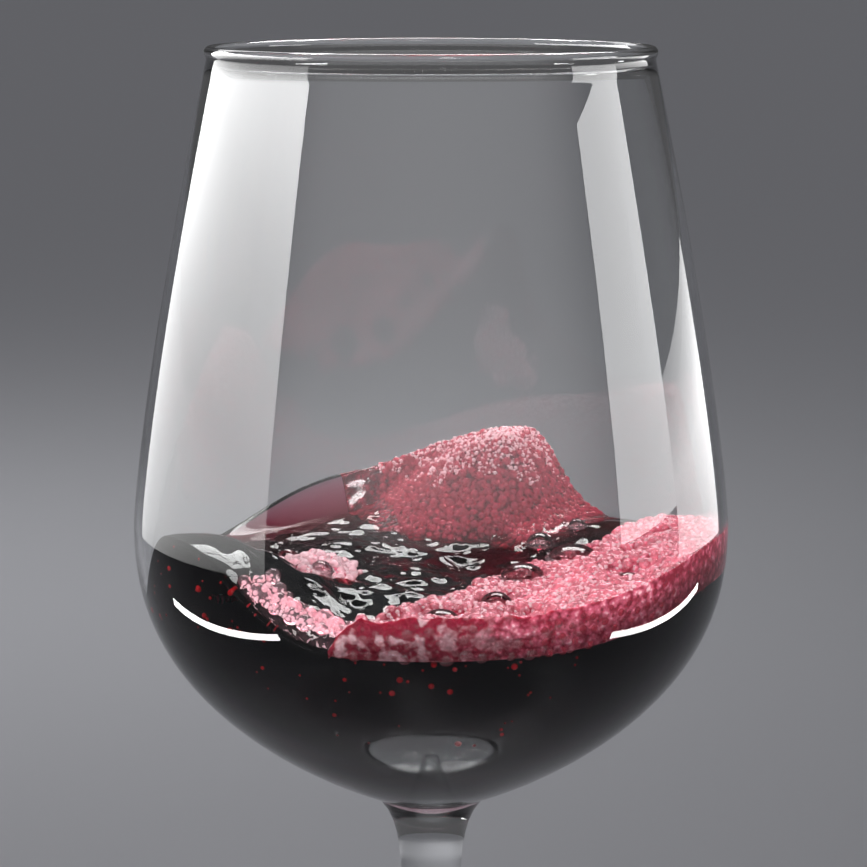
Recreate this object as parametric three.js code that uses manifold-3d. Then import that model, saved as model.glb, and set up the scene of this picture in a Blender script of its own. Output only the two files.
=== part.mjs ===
// Glass of red wine: a large stemmed glass, and in it wine that swirls up the wall under pink froth.
// Millimetres, +Z up. The origin is under the middle of the foot, on the surface that it stands on.
// Azimuths are in degrees, counter-clockwise seen from above: -90 is the front, 0 the right.

import * as THREE from 'three';
import { mergeVertices } from 'three/addons/utils/BufferGeometryUtils.js';
import Module from 'manifold-3d';

const wasm = await Module();
wasm.setup();

// Driving dimensions of the glass
const GLASS_HEIGHT = 230;
const RIM_RADIUS = 33.4;
const BELLY_RADIUS = 46;
const BELLY_DEPTH = 72.8;
const BOWL_DEPTH = 120.1;
const BOWL_INNER_DEPTH = 117.5;
const WALL = 1.3;
const BEAD_HALF_WIDTH = 0.9;
const BEAD_HALF_HEIGHT = 0.95;
const BEAD_STAND = 0.75;
const UPPER_CURVE = 1.26;
const LOWER_CURVE_DOWN = 2.41;
const LOWER_CURVE_OUT = 1.17;

const STEM_WAIST = 4.1;
const STEM_WAIST_HEIGHT = 50;
const STEM_TAPER = 0.65;
const STEM_TAPER_REACH = 60;
const STEM_JOIN_RADIUS = 9.1;
const STEM_JOIN_FADE = 4.1;

const FOOT_RADIUS = 41;
const FOOT_EDGE = 1.7;
const FOOT_RISE = 3.3;
const FOOT_NECK = 9;
const FOOT_NECK_FADE = 3;
const FOOT_SLOPE_CURVE = 1.5;
const RESTING_RING_WIDTH = 3.8;
const FOOT_HOLLOW = 1.6;

// Driving dimensions of the wine and its froth
const GAP = 0.3;
const WINE_TROUGH = 147.2;
const WINE_MIDDLE_RISE = 2.4;
const HOLLOW_DEPTH = 1.8;
const HOLLOW_RADIUS = 13;
const HOLLOW_PLACE = { x: 7, y: 9 };
const FROTH_CEILING = 178;
const FROTH_FLOOR = 125;

// Each swell climbs the wall by its rise at its azimuth, and fades off clockwise and counter-clockwise.
// It starts at one part of the way from the middle to the wall and is full at another.
const SWELLS = [
  { azimuth: -146.4, rise: 12.5, clockwise: 12.0, counter: 23.6, power: 2.9, starts: 0.3, full: 1.0 },
  { azimuth: -23.0, rise: 4.9, clockwise: 25.6, counter: 105, power: 2.0, starts: 0.2, full: 1.0 },
  { azimuth: 67.9, rise: 12.6, clockwise: 9.2, counter: 28.8, power: 2.24, starts: 0.46, full: 0.76 },
  { azimuth: 112.0, rise: 6.5, clockwise: 23.1, counter: 23.1, power: 2.0, starts: 0.9, full: 1.0 },
];

// The raft of froth covers the side of the surface beyond a chord, and is deepest against the glass.
const RAFT = { facing: -40, chord: 15.5, edge: 1.1, wall: 5.4, thinFrom: -12, thinTo: 36, thin: 1.3 };
// Outside its froth a slab dips under the wine by this much.
const SLAB_DIP = -1.5;
// The cap of froth lies over the face and the top of the crest at the back.
const CAP = { from: 47, to: 104, starts: 0.5, thickness: 1.3 };
// The cluster of bubbles is a low heap on the left.
const CLUSTER = { x: -18.5, y: -5, halfWidth: 6.5, halfLength: 10.5, height: 2.2 };

// Large bubbles stand on the froth as low domes.
const RAFT_DOMES = [
  { x: 22, y: -3, radius: 3.9, height: 2.3 },
  { x: 13.8, y: -13, radius: 3.4, height: 2.4 },
  { x: 9.5, y: -26, radius: 2.4, height: 2.0 },
  { x: 1.5, y: -35, radius: 3.0, height: 2.3 },
  { x: 29, y: -21, radius: 1.9, height: 1.5 },
];
const CLUSTER_DOMES = [
  { x: -22.6, y: 2, radius: 1.9, height: 1.9 },
  { x: -24.4, y: -9, radius: 2.1, height: 2.0 },
  { x: -16.5, y: -14.5, radius: 1.8, height: 1.7 },
];
// Smaller bubbles are scattered over each froth, from a seed.
const RAFT_SCATTER = { count: 36, seed: 11, smallest: 0.9, largest: 1.6 };
const CAP_SCATTER = { count: 30, seed: 23, smallest: 0.8, largest: 1.4 };
const CLUSTER_SCATTER = { count: 22, seed: 37, smallest: 0.8, largest: 1.3 };
const CARRYING_DEPTH = 0.8;

// Fineness of the solids
const GLASS_SIDES = 48;
const WINE_SIDES = 60;
const SURFACE_RINGS = 12;
const SURFACE_EASE = 0.85;
const WALL_RINGS = 9;
const SPACE_RINGS = 4;
const CUP_STEPS = 12;
const FINER_FROM_RADIUS = 1.5;
const MERGE_DISTANCE = 1e-5;

// The multiplier, step and range of the seeded draw
const DRAW = { multiplier: 1664525, step: 1013904223, range: 4294967296 };

const RIM_LEVEL = GLASS_HEIGHT;

const glassFinish = new THREE.MeshStandardMaterial({
  color: 0xe9edf0, roughness: 0.03, metalness: 0, transparent: true, opacity: 0.3,
});
const wineFinish = new THREE.MeshStandardMaterial({ color: 0x2e040c, roughness: 0.06, metalness: 0 });
const frothFinish = new THREE.MeshStandardMaterial({ color: 0xb8405a, roughness: 0.35, metalness: 0 });
const bubbleFinish = new THREE.MeshStandardMaterial({ color: 0x8e3448, roughness: 0.25, metalness: 0 });

function radians(degrees) {
  return degrees * Math.PI / 180;
}

function smoothStep(from, to, value) {
  const share = THREE.MathUtils.clamp((value - from) / (to - from), 0, 1);
  return share * share * (3 - 2 * share);
}

// A seeded draw between 0 and 1, so that the froth is the same each time.
function seededDraw(seed) {
  let state = seed;
  return () => {
    state = (state * DRAW.multiplier + DRAW.step) % DRAW.range;
    return state / DRAW.range;
  };
}

// Radius of one face of the bowl at a height: an eased cone above the belly, a rounded cup below it.
function bowlRadius(height, rimRadius, bellyRadius, deepest) {
  const depth = RIM_LEVEL - height;
  if (depth <= BELLY_DEPTH) {
    const above = 1 - Math.max(depth, 0) / BELLY_DEPTH;
    return bellyRadius - (bellyRadius - rimRadius) * above ** UPPER_CURVE;
  }
  const below = Math.min((depth - BELLY_DEPTH) / (deepest - BELLY_DEPTH), 1);
  return bellyRadius * (1 - below ** LOWER_CURVE_DOWN) ** (1 / LOWER_CURVE_OUT);
}

function outerRadius(height) {
  return bowlRadius(height, RIM_RADIUS, BELLY_RADIUS, BOWL_DEPTH);
}

function innerRadius(height) {
  return bowlRadius(height, RIM_RADIUS - WALL, BELLY_RADIUS - WALL, BOWL_INNER_DEPTH);
}

// The height at which the outer face of the cup below the belly has a given radius.
function outerHeight(radius) {
  const below = (1 - (radius / BELLY_RADIUS) ** LOWER_CURVE_OUT) ** (1 / LOWER_CURVE_DOWN);
  return RIM_LEVEL - BELLY_DEPTH - below * (BOWL_DEPTH - BELLY_DEPTH);
}

const STEM_TOP = outerHeight(STEM_JOIN_RADIUS);
const FOOT_TOP = FOOT_EDGE + FOOT_RISE + FOOT_NECK;

function shaftRadius(height) {
  return STEM_WAIST + STEM_TAPER * ((height - STEM_WAIST_HEIGHT) / STEM_TAPER_REACH) ** 2;
}

function stemRadius(height) {
  const flare = STEM_JOIN_RADIUS - shaftRadius(STEM_TOP);
  return shaftRadius(height) + flare * Math.exp((height - STEM_TOP) / STEM_JOIN_FADE);
}

function footHeight(radius) {
  const neckRadius = stemRadius(FOOT_TOP);
  const outward = (radius - neckRadius) / (FOOT_RADIUS - neckRadius);
  const slope = FOOT_RISE * Math.max(1 - outward, 0) ** FOOT_SLOPE_CURVE;
  return FOOT_EDGE + slope + FOOT_NECK * Math.exp((neckRadius - radius) / FOOT_NECK_FADE);
}

// The outline starts on the axis under the foot and ends on the axis at the bottom of the bowl's inside.
function glassOutline() {
  const outline = [];
  const add = (radius, height) => outline.push(new THREE.Vector2(radius, height));
  const hollowRadius = FOOT_RADIUS - FOOT_EDGE / 2 - RESTING_RING_WIDTH;
  for (const share of [0, 0.35, 0.7]) {
    add(hollowRadius * share, FOOT_HOLLOW * (1 - share * share));
  }
  add(hollowRadius, 0);

  const edgeRadius = FOOT_EDGE / 2;
  for (const turn of [-90, -30, 30, 90]) {
    const angle = radians(turn);
    add(FOOT_RADIUS - edgeRadius + edgeRadius * Math.cos(angle), edgeRadius + edgeRadius * Math.sin(angle));
  }

  const neckRadius = stemRadius(FOOT_TOP);
  for (const share of [0.72, 0.42, 0.22, 0.11, 0.04]) {
    const radius = neckRadius + (FOOT_RADIUS - neckRadius) * share;
    add(radius, footHeight(radius));
  }

  for (const share of [0, 0.2, 0.45, 0.7, 0.86, 0.93, 0.97]) {
    const height = FOOT_TOP + (STEM_TOP - FOOT_TOP) * share;
    add(stemRadius(height), height);
  }

  for (const radius of [STEM_JOIN_RADIUS, 16, 24, 31.5, 37.5, 41.7, 44.3, 45.6]) {
    add(radius, outerHeight(radius));
  }
  const beadMiddle = RIM_LEVEL - BEAD_HALF_HEIGHT;
  const wallTop = beadMiddle - BEAD_HALF_HEIGHT;
  const belly = RIM_LEVEL - BELLY_DEPTH;
  for (const share of [0, 0.12, 0.28, 0.47, 0.7, 1]) {
    const height = belly + (wallTop - belly) * share;
    add(outerRadius(height), height);
  }

  const beadRadius = RIM_RADIUS + BEAD_STAND - BEAD_HALF_WIDTH;
  for (const turn of [-35, 5, 47, 90, 138, 190]) {
    const angle = radians(turn);
    add(beadRadius + BEAD_HALF_WIDTH * Math.cos(angle), beadMiddle + BEAD_HALF_HEIGHT * Math.sin(angle));
  }

  for (const share of [0, 0.3, 0.53, 0.72, 0.88]) {
    const height = wallTop + (belly - wallTop) * share;
    add(innerRadius(height), height);
  }
  const innerBottom = RIM_LEVEL - BOWL_INNER_DEPTH;
  for (let step = 0; step <= CUP_STEPS; step += 1) {
    const height = belly + (innerBottom - belly) * Math.sin(step / CUP_STEPS * Math.PI / 2);
    add(innerRadius(height), height);
  }
  outline[outline.length - 1].x = 0;
  return outline;
}

function makeGlass() {
  const geometry = new THREE.LatheGeometry(glassOutline(), GLASS_SIDES);
  return geometry.rotateX(Math.PI / 2);
}

// Height of the wine's surface, from the azimuth and the share of the way from the middle to the wall.
function surfaceHeight(azimuth, share) {
  let height = WINE_TROUGH + WINE_MIDDLE_RISE * (1 - share ** 3);
  for (const swell of SWELLS) {
    const away = THREE.MathUtils.euclideanModulo(azimuth - swell.azimuth + 180, 360) - 180;
    const spread = away < 0 ? swell.clockwise : swell.counter;
    const around = Math.exp(-(Math.abs(away / spread) ** swell.power));
    height += swell.rise * around * smoothStep(swell.starts, swell.full, share);
  }
  const radius = share * (BELLY_RADIUS - WALL);
  const acrossX = radius * Math.cos(radians(azimuth)) - HOLLOW_PLACE.x;
  const acrossY = radius * Math.sin(radians(azimuth)) - HOLLOW_PLACE.y;
  const fromHollow = Math.hypot(acrossX, acrossY) / HOLLOW_RADIUS;
  return height - HOLLOW_DEPTH * Math.exp(-(fromHollow ** 2));
}

// The wall that wine and froth stand against: the inside of the bowl, less the gap.
function wettedRadius(height) {
  return Math.max(Math.min(innerRadius(height) - GAP, innerRadius(height - GAP)), 0);
}

function pointAt(azimuth, radius, height) {
  return [radius * Math.cos(radians(azimuth)), radius * Math.sin(radians(azimuth)), height];
}

// A closed mesh from a top point, rings that run outward and down, and a bottom point.
// Each ring is a function of the azimuth. From inwardFrom on they run back in, under the solid, and
// their faces are split the same way as those of a surface that runs outward, so that the two match.
function ringedSolid(topPoint, rings, bottomPoint, inwardFrom = rings.length) {
  const positions = [...topPoint];
  for (const ring of rings) {
    for (let side = 0; side < WINE_SIDES; side += 1) {
      positions.push(...ring(side / WINE_SIDES * 360));
    }
  }
  positions.push(...bottomPoint);
  const lastIndex = positions.length / 3 - 1;
  const vertex = (ring, side) => 1 + ring * WINE_SIDES + side % WINE_SIDES;
  const faces = [];
  for (let side = 0; side < WINE_SIDES; side += 1) {
    faces.push(0, vertex(0, side), vertex(0, side + 1));
    for (let ring = 0; ring + 1 < rings.length; ring += 1) {
      if (ring < inwardFrom) {
        faces.push(vertex(ring, side), vertex(ring + 1, side), vertex(ring + 1, side + 1));
        faces.push(vertex(ring, side), vertex(ring + 1, side + 1), vertex(ring, side + 1));
      } else {
        faces.push(vertex(ring, side), vertex(ring + 1, side), vertex(ring, side + 1));
        faces.push(vertex(ring + 1, side), vertex(ring + 1, side + 1), vertex(ring, side + 1));
      }
    }
    faces.push(lastIndex, vertex(rings.length - 1, side + 1), vertex(rings.length - 1, side));
  }
  const geometry = new THREE.BufferGeometry();
  geometry.setAttribute('position', new THREE.Float32BufferAttribute(positions, 3));
  geometry.setIndex(faces);
  return geometry;
}

// One ring on a surface that lies a given way above the wine, as far out as the share says.
function surfaceRing(share, liftAt) {
  return (azimuth) => {
    const contact = wettedRadius(surfaceHeight(azimuth, 1) + liftAt(azimuth, 1));
    return pointAt(azimuth, contact * share, surfaceHeight(azimuth, share) + liftAt(azimuth, share));
  };
}

function surfaceShares() {
  const shares = [];
  for (let ring = 1; ring <= SURFACE_RINGS; ring += 1) {
    shares.push((ring / SURFACE_RINGS) ** SURFACE_EASE);
  }
  return shares;
}

function makeWine() {
  const level = () => 0;
  const rings = surfaceShares().map((share) => surfaceRing(share, level));
  const bottom = RIM_LEVEL - BOWL_INNER_DEPTH + GAP;
  for (let step = 1; step < WALL_RINGS; step += 1) {
    const down = Math.sin(step / WALL_RINGS * Math.PI / 2);
    rings.push((azimuth) => {
      const contact = surfaceHeight(azimuth, 1);
      const height = contact + (bottom - contact) * down;
      return pointAt(azimuth, wettedRadius(height), height);
    });
  }
  return ringedSolid([0, 0, surfaceHeight(0, 0)], rings, [0, 0, bottom]);
}

// A closed mesh with merged corners, as a solid for joining and cutting.
function toSolid(geometry) {
  const bare = geometry.clone();
  bare.deleteAttribute('normal');
  bare.deleteAttribute('uv');
  const merged = mergeVertices(bare, MERGE_DISTANCE);
  return new wasm.Manifold(new wasm.Mesh({
    numProp: 3,
    vertProperties: new Float32Array(merged.attributes.position.array),
    triVerts: new Uint32Array(merged.index.array),
  }));
}

function toGeometry(solid) {
  const mesh = solid.getMesh();
  const geometry = new THREE.BufferGeometry();
  geometry.setAttribute('position', new THREE.BufferAttribute(mesh.vertProperties, 3));
  geometry.setIndex(new THREE.BufferAttribute(mesh.triVerts, 1));
  return geometry;
}

// The space that froth can fill: over the wine by the gap, and inside the bowl.
function makeFrothSpace() {
  const lift = () => GAP;
  const inward = surfaceShares().reverse().map((share) => surfaceRing(share, lift));
  const upward = [];
  for (let step = 0; step < SPACE_RINGS; step += 1) {
    upward.push((azimuth) => {
      const contact = surfaceHeight(azimuth, 1) + GAP;
      const height = FROTH_CEILING + (contact - FROTH_CEILING) * step / SPACE_RINGS;
      return pointAt(azimuth, wettedRadius(height), height);
    });
  }
  const top = [0, 0, FROTH_CEILING];
  const bottom = [0, 0, surfaceHeight(0, 0) + GAP];
  return toSolid(ringedSolid(top, [...upward, ...inward], bottom, SPACE_RINGS));
}

// A slab whose top lies over the wine by the given thickness, and below it where that is negative.
function makeFrothSlab(thicknessAt) {
  const lift = (azimuth, share) => GAP + thicknessAt(azimuth, share);
  const rings = surfaceShares().map((share) => surfaceRing(share, lift));
  rings.push((azimuth) => pointAt(azimuth, BELLY_RADIUS, surfaceHeight(azimuth, 1) + lift(azimuth, 1)));
  rings.push((azimuth) => pointAt(azimuth, BELLY_RADIUS, FROTH_FLOOR));
  return toSolid(ringedSolid([0, 0, surfaceHeight(0, 0) + lift(0, 0)], rings, [0, 0, FROTH_FLOOR]));
}

// A bubble, or a low dome of one, whose lower half is sunk in the froth.
function makeBubble(x, y, height, radius, rise) {
  const ball = new THREE.IcosahedronGeometry(radius, radius > FINER_FROM_RADIUS ? 1 : 0);
  ball.scale(1, 1, rise / radius);
  ball.translate(x, y, height);
  return toSolid(ball);
}

function shareAt(x, y) {
  return Math.min(Math.hypot(x, y) / (BELLY_RADIUS - WALL - GAP), 1);
}

function azimuthAt(x, y) {
  return THREE.MathUtils.radToDeg(Math.atan2(y, x));
}

// Froth is a slab with bubbles on it, held inside the space for froth, in one connected piece.
function makeFroth(space, thicknessAt, bubbles) {
  const balls = bubbles.map((bubble) => {
    const azimuth = azimuthAt(bubble.x, bubble.y);
    const share = shareAt(bubble.x, bubble.y);
    const top = surfaceHeight(azimuth, share) + GAP + Math.max(thicknessAt(azimuth, share), 0);
    return makeBubble(bubble.x, bubble.y, top, bubble.radius, bubble.height);
  });
  const heap = wasm.Manifold.union([makeFrothSlab(thicknessAt), ...balls]).intersect(space);
  const pieces = heap.decompose().sort((one, other) => other.volume() - one.volume());
  return toGeometry(pieces[0]);
}

// Bubbles scattered where the froth is thick enough to carry them.
function scatteredBubbles(scatter, thicknessAt) {
  const draw = seededDraw(scatter.seed);
  const found = [];
  while (found.length < scatter.count) {
    const x = (draw() * 2 - 1) * BELLY_RADIUS;
    const y = (draw() * 2 - 1) * BELLY_RADIUS;
    const inside = Math.hypot(x, y) < BELLY_RADIUS - WALL;
    if (inside && thicknessAt(azimuthAt(x, y), shareAt(x, y)) > CARRYING_DEPTH) {
      const radius = scatter.smallest + (scatter.largest - scatter.smallest) * draw() ** 2;
      found.push({ x, y, radius, height: radius });
    }
  }
  return found;
}

function raftThickness(azimuth, share) {
  const radius = share * (BELLY_RADIUS - WALL);
  const beyondChord = radius * Math.cos(radians(azimuth - RAFT.facing)) - RAFT.chord;
  if (beyondChord < 0) {
    return Math.max(beyondChord, SLAB_DIP);
  }
  const turned = THREE.MathUtils.euclideanModulo(azimuth + 180, 360) - 180;
  const atWall = RAFT.wall + (RAFT.thin - RAFT.wall) * smoothStep(RAFT.thinFrom, RAFT.thinTo, turned);
  return RAFT.edge + (atWall - RAFT.edge) * share ** 4;
}

function capThickness(azimuth, share) {
  const inside = azimuth > CAP.from && azimuth < CAP.to && share > CAP.starts;
  return inside ? CAP.thickness : SLAB_DIP;
}

function clusterThickness(azimuth, share) {
  const radius = share * (BELLY_RADIUS - WALL);
  const acrossX = (radius * Math.cos(radians(azimuth)) - CLUSTER.x) / CLUSTER.halfWidth;
  const acrossY = (radius * Math.sin(radians(azimuth)) - CLUSTER.y) / CLUSTER.halfLength;
  return Math.max(CLUSTER.height * (1 - acrossX ** 2 - acrossY ** 2), SLAB_DIP);
}

function piece(name, geometry, finish) {
  const mesh = new THREE.Mesh(geometry, finish);
  mesh.name = name;
  return mesh;
}

const frothSpace = makeFrothSpace();
const raftBubbles = [...RAFT_DOMES, ...scatteredBubbles(RAFT_SCATTER, raftThickness)];
const capBubbles = scatteredBubbles(CAP_SCATTER, capThickness);
const clusterBubbles = [...CLUSTER_DOMES, ...scatteredBubbles(CLUSTER_SCATTER, clusterThickness)];

const glassOfWine = new THREE.Group();
glassOfWine.add(
  piece('glass', makeGlass(), glassFinish),
  piece('wine', makeWine(), wineFinish),
  piece('froth_raft', makeFroth(frothSpace, raftThickness, raftBubbles), frothFinish),
  piece('froth_cap', makeFroth(frothSpace, capThickness, capBubbles), frothFinish),
  piece('bubble_cluster', makeFroth(frothSpace, clusterThickness, clusterBubbles), bubbleFinish),
);

export default glassOfWine;
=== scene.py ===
# %% [markdown]
# # A glass of red wine, caught in the swirl
# The object is a large stemmed glass. Wine swings round in it, so it stands high against the wall at the
# back and at the left, and froth and bubbles ride on it. We load the solids of the part first. They say
# where everything is, and each piece that we model stands in for one of them.

# %% Load the frame
import math

import bpy
import numpy as np
from mathutils import Matrix, Vector, noise


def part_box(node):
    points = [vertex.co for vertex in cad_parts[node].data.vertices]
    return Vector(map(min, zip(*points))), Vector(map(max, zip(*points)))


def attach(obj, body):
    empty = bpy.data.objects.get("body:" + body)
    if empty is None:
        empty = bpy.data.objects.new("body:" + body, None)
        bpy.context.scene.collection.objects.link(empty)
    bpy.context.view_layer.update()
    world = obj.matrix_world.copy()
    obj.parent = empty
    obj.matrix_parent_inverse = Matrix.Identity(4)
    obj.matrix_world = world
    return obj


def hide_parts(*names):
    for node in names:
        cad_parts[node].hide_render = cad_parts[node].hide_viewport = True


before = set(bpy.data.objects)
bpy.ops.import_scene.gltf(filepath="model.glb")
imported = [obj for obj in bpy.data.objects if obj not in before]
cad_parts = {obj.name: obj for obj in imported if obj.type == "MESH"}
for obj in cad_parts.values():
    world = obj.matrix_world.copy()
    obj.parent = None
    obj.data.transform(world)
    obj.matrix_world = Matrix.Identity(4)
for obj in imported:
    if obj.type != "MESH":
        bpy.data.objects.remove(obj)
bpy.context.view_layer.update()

glass_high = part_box("glass")[1]
print("solids:", sorted(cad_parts))
print("glass is", round(glass_high.z * 1000, 1), "mm tall")

# %% [markdown]
# ## The camera
# The camera looks a little down on the rim, from about 40 cm, with a long lens. We could guess such a
# view by eye. Here it is worked out from how flat the rim's ellipse looks, so that the waves line up.

# %% Camera
MM = 0.001
RIM_LEVEL = glass_high.z
CAMERA_DISTANCE = 400 * MM
CAMERA_OVER_RIM = 14.76 * MM
CAMERA_ASIDE = 0.38 * MM
CAMERA_TILT = math.radians(10.51)
LENS = 109.2

camera_data = bpy.data.cameras.new("photo_camera")
camera_data.lens = LENS
camera_data.sensor_width = 36
camera = bpy.data.objects.new("photo_camera", camera_data)
camera.location = (CAMERA_ASIDE, -CAMERA_DISTANCE, RIM_LEVEL + CAMERA_OVER_RIM)
camera.rotation_euler = (math.pi / 2 - CAMERA_TILT, 0, 0)
bpy.context.collection.objects.link(camera)
bpy.context.scene.camera = camera
print("camera", round(camera.location.z * 1000, 1), "mm up and", CAMERA_DISTANCE * 1000, "mm away")

# %% [markdown]
# ## How light is counted
# Clear glass needs many bounces: one look through the bowl crosses four surfaces, and the froth adds more.
# The plain view transform keeps the greys of the backdrop as they are.

# %% Light paths and view
scene = bpy.context.scene
scene.view_settings.view_transform = "Standard"
scene.cycles.max_bounces = 16
scene.cycles.transmission_bounces = 14
scene.cycles.glossy_bounces = 6
scene.cycles.diffuse_bounces = 3
scene.cycles.transparent_max_bounces = 24
scene.cycles.use_denoising = True
print("bounces:", scene.cycles.max_bounces)

# %% [markdown]
# ## The outline of the bowl
# A blown bowl is round, so one outline gives all of it. Over the belly it is an eased cone, and under the
# belly a rounded cup. We write it as a formula in the depth under the rim, and use the same formula for
# the outside, the inside and the wine, so that they follow each other.

# %% Bowl formula
BELLY_RADIUS = glass_high.x
RIM_RADIUS = 33.4 * MM
BELLY_DEPTH = 72.8 * MM
BOWL_DEPTH = 120.1 * MM
BOWL_INNER_DEPTH = 117.5 * MM
WALL = 1.3 * MM
UPPER_CURVE = 1.26
LOWER_CURVE_DOWN = 2.41
LOWER_CURVE_OUT = 1.17


def bowl_radius(height, rim_radius, belly_radius, deepest):
    depth = np.clip(RIM_LEVEL - np.asarray(height, dtype=float), 0, deepest)
    above = np.clip(1 - depth / BELLY_DEPTH, 0, 1)
    below = np.clip((depth - BELLY_DEPTH) / (deepest - BELLY_DEPTH), 0, 1)
    cone = belly_radius - (belly_radius - rim_radius) * above ** UPPER_CURVE
    cup = belly_radius * (1 - below ** LOWER_CURVE_DOWN) ** (1 / LOWER_CURVE_OUT)
    return np.where(depth <= BELLY_DEPTH, cone, cup)


def outer_radius(height):
    return bowl_radius(height, RIM_RADIUS, BELLY_RADIUS, BOWL_DEPTH)


def inner_radius(height):
    return bowl_radius(height, RIM_RADIUS - WALL, BELLY_RADIUS - WALL, BOWL_INNER_DEPTH)


def cup_height(radius, belly_radius, deepest):
    below = (1 - (radius / belly_radius) ** LOWER_CURVE_OUT) ** (1 / LOWER_CURVE_DOWN)
    return RIM_LEVEL - BELLY_DEPTH - below * (deepest - BELLY_DEPTH)


print("belly", round(float(outer_radius(RIM_LEVEL - BELLY_DEPTH)) * 2000, 1), "mm across")

# %% [markdown]
# ## Stem and foot
# A drawn stem is thinnest in the middle and flares into the bowl and the foot. Both flares fade off
# quickly, which an exponential gives with one number each.

# %% Stem and foot formulas
STEM_WAIST = 4.1 * MM
STEM_WAIST_HEIGHT = 50 * MM
STEM_TAPER = 0.65 * MM
STEM_TAPER_REACH = 60 * MM
STEM_JOIN_RADIUS = 9.1 * MM
STEM_JOIN_FADE = 4.1 * MM
FOOT_RADIUS = 41 * MM
FOOT_EDGE = 1.7 * MM
FOOT_RISE = 3.3 * MM
FOOT_NECK = 9 * MM
FOOT_NECK_FADE = 3 * MM
FOOT_SLOPE_CURVE = 1.5
RESTING_RING = 3.8 * MM
FOOT_HOLLOW = 1.6 * MM

STEM_TOP = float(cup_height(STEM_JOIN_RADIUS, BELLY_RADIUS, BOWL_DEPTH))
FOOT_TOP = FOOT_EDGE + FOOT_RISE + FOOT_NECK


def shaft_radius(height):
    return STEM_WAIST + STEM_TAPER * ((height - STEM_WAIST_HEIGHT) / STEM_TAPER_REACH) ** 2


def stem_radius(height):
    flare = STEM_JOIN_RADIUS - shaft_radius(STEM_TOP)
    return shaft_radius(height) + flare * np.exp((height - STEM_TOP) / STEM_JOIN_FADE)


NECK_RADIUS = float(stem_radius(FOOT_TOP))


def foot_height(radius):
    outward = np.clip(1 - (radius - NECK_RADIUS) / (FOOT_RADIUS - NECK_RADIUS), 0, 1)
    neck = FOOT_NECK * np.exp((NECK_RADIUS - radius) / FOOT_NECK_FADE)
    return FOOT_EDGE + FOOT_RISE * outward ** FOOT_SLOPE_CURVE + neck


print("stem joins the bowl at", round(STEM_TOP * 1000, 1), "mm")

# %% [markdown]
# ## Turning an outline into a mesh
# Blender's Screw modifier could turn the outline. We build the rings ourselves instead, because the wine
# needs the same grid with a different outline at each side, and one helper then serves both.

# %% Ring mesh helper
def smooth_piece(name, points, faces):
    mesh = bpy.data.meshes.new(name)
    mesh.from_pydata(points, [], faces)
    mesh.polygons.foreach_set("use_smooth", [True] * len(mesh.polygons))
    mesh.update()
    piece = bpy.data.objects.new(name, mesh)
    bpy.context.collection.objects.link(piece)
    print(name, "has", len(mesh.polygons), "faces")
    return piece


def ring_mesh(name, rings, first_point, last_point):
    """A closed mesh from a first point, rings of equal length, and a last point."""
    sides = len(rings[0])
    points = np.vstack([[first_point], *rings, [last_point]])
    side = np.arange(sides)
    after = (side + 1) % sides
    faces = []
    for index in range(len(rings) - 1):
        near = 1 + index * sides
        far = near + sides
        faces += np.stack([near + side, far + side, far + after, near + after], axis=1).tolist()
    last = len(points) - 1
    final_ring = 1 + (len(rings) - 1) * sides
    faces += np.stack([np.zeros(sides, int), 1 + side, 1 + after], axis=1).tolist()
    faces += np.stack([np.full(sides, last), final_ring + after, final_ring + side], axis=1).tolist()
    return smooth_piece(name, points.tolist(), faces)


def turned_rings(outline, sides):
    turn = np.arange(sides) * 2 * math.pi / sides
    return [np.stack([r * np.cos(turn), r * np.sin(turn), np.full(sides, z)], axis=1) for r, z in outline]


# %% [markdown]
# ## The glass
# The rim of such a glass is melted round after cutting, so it ends in a small bead. The outline starts at
# the bottom of the cup and runs up the inside, over the bead, down the outside and the stem, and over the
# foot to the axis under it. In this order the faces look outwards, which clear glass needs. The function
# lists the points the other way round, from the foot up, because that is easier to follow.

# %% Glass outline
BEAD_HALF_WIDTH = 0.9 * MM
BEAD_HALF_HEIGHT = 0.95 * MM
BEAD_STAND = 0.75 * MM
GLASS_SIDES = 256


def arc_points(middle_radius, middle_height, half_width, half_height, start, stop, steps):
    angles = np.radians(np.linspace(start, stop, steps))
    radii = middle_radius + half_width * np.cos(angles)
    return list(zip(radii, middle_height + half_height * np.sin(angles)))


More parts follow.
